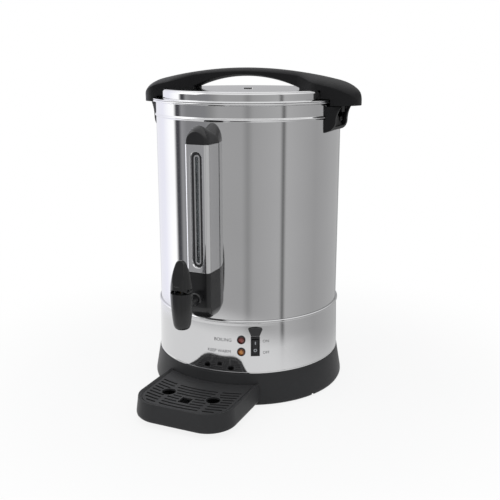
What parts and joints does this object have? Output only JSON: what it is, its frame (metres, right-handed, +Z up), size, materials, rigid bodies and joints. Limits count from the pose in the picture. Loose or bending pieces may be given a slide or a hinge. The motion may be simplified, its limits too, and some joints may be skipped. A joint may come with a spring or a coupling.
{
  "type": "hot water urn",
  "caption": "Tall polished steel hot water urn with a lever tap, a sight gauge, a hooded arch handle on its twist-lock lid, a switch and a drip tray.",
  "frame": {"origin": "on the table, under the axis of the vessel, at the centre of the rubber foot ring", "axes": "+Z up, -Y towards the tap and drip tray, +X to the right seen from the front"},
  "size_m": [0.367, 0.4288, 0.5044],
  "materials": {
    "polished_steel": "polished",
    "plain_steel": "plain",
    "black_plastic": "satin",
    "grey_plastic": "satin",
    "black_rubber": "matt",
    "brass": "plain",
    "aluminium": "plain",
    "clear_glass": "clear",
    "red_lens": "gloss",
    "amber_lens": "gloss"
  },
  "bodies": {
    "urn": {"vessel": "polished_steel", "skirt": "polished_steel", "gauge_cover": "polished_steel", "gauge_ring": "polished_steel", "bottom_plate": "plain_steel", "plate_screws": "plain_steel", "boil_element": "plain_steel", "warm_element": "plain_steel", "cap_screw": "plain_steel", "valve_spring": "plain_steel", "bracket_screws": "plain_steel", "base_ring": "black_plastic", "gauge_cap": "black_plastic", "gauge_base": "black_plastic", "gauge_bezel": "black_plastic", "tap_body": "black_plastic", "neck_collar": "black_plastic", "tap_bonnet": "black_plastic", "switch_bezel": "black_plastic", "lamp_bezels": "black_plastic", "bracket_right": "black_plastic", "bracket_left": "black_plastic", "cord_gland": "black_plastic", "boil_thermostat": "black_plastic", "dry_cutout": "black_plastic", "switch_guard": "grey_plastic", "terminal_block": "grey_plastic", "foot_ring": "black_rubber", "tube_seals": "black_rubber", "tap_washer": "black_rubber", "tap_nut": "brass", "heat_plate": "aluminium", "sight_tube": "clear_glass", "boil_lens": "red_lens", "warm_lens": "amber_lens"},
    "tap_lever": {"tap_lever": "black_plastic", "lever_pin": "plain_steel", "lift_pin": "plain_steel"},
    "stem": {"valve_stem": "brass", "seat_cup": "black_rubber"},
    "rocker": {"rocker": "black_plastic"},
    "lid_vent": {"steam_vent": "polished_steel"},
    "lid": {"lid_pan": "polished_steel", "lid_handle": "black_plastic", "handle_screws": "plain_steel"},
    "tray": {"drip_tray": "black_plastic"},
    "grille": {"tray_grille": "black_plastic"}
  },
  "joints": [
    {"name": "tap_lever", "type": "hinge", "parent": "urn", "child": "tap_lever", "pos_m": [0, -0.2366, 0.2065], "axis": [1, 0, 0], "range_deg": [0, 28], "stiffness_Nm_per_rad": 0.15, "springref_deg": -22.92},
    {"name": "valve_lift", "type": "slide", "parent": "urn", "child": "stem", "axis": [0, 0, 1], "range_m": [0, 0.00282], "deforming": ["valve_spring"]},
    {"name": "rocker_tip", "type": "hinge", "parent": "urn", "child": "rocker", "pos_m": [0.06757, -0.12762, 0.0954], "axis": [-0.8838, -0.4679, 0], "range_deg": [0, 14]},
    {"name": "lid_lift", "type": "slide", "parent": "urn", "child": "lid_vent", "axis": [0, 0, 1], "range_m": [0, 0.2]},
    {"name": "lid_twist", "type": "hinge", "parent": "lid_vent", "child": "lid", "pos_m": [0, 0, 0.4725], "axis": [0, 0, 1], "range_deg": [0, 6.3]},
    {"name": "tray_slide", "type": "slide", "parent": "urn", "child": "tray", "axis": [0, -1, 0], "range_m": [0, 0.15]},
    {"name": "grille_lift", "type": "slide", "parent": "tray", "child": "grille", "axis": [0, 0, 1], "range_m": [0, 0.09]}
  ],
  "couplings": [
    {"joint": "valve_lift", "follows": "tap_lever", "m_per_rad": 0.005764}
  ]
}
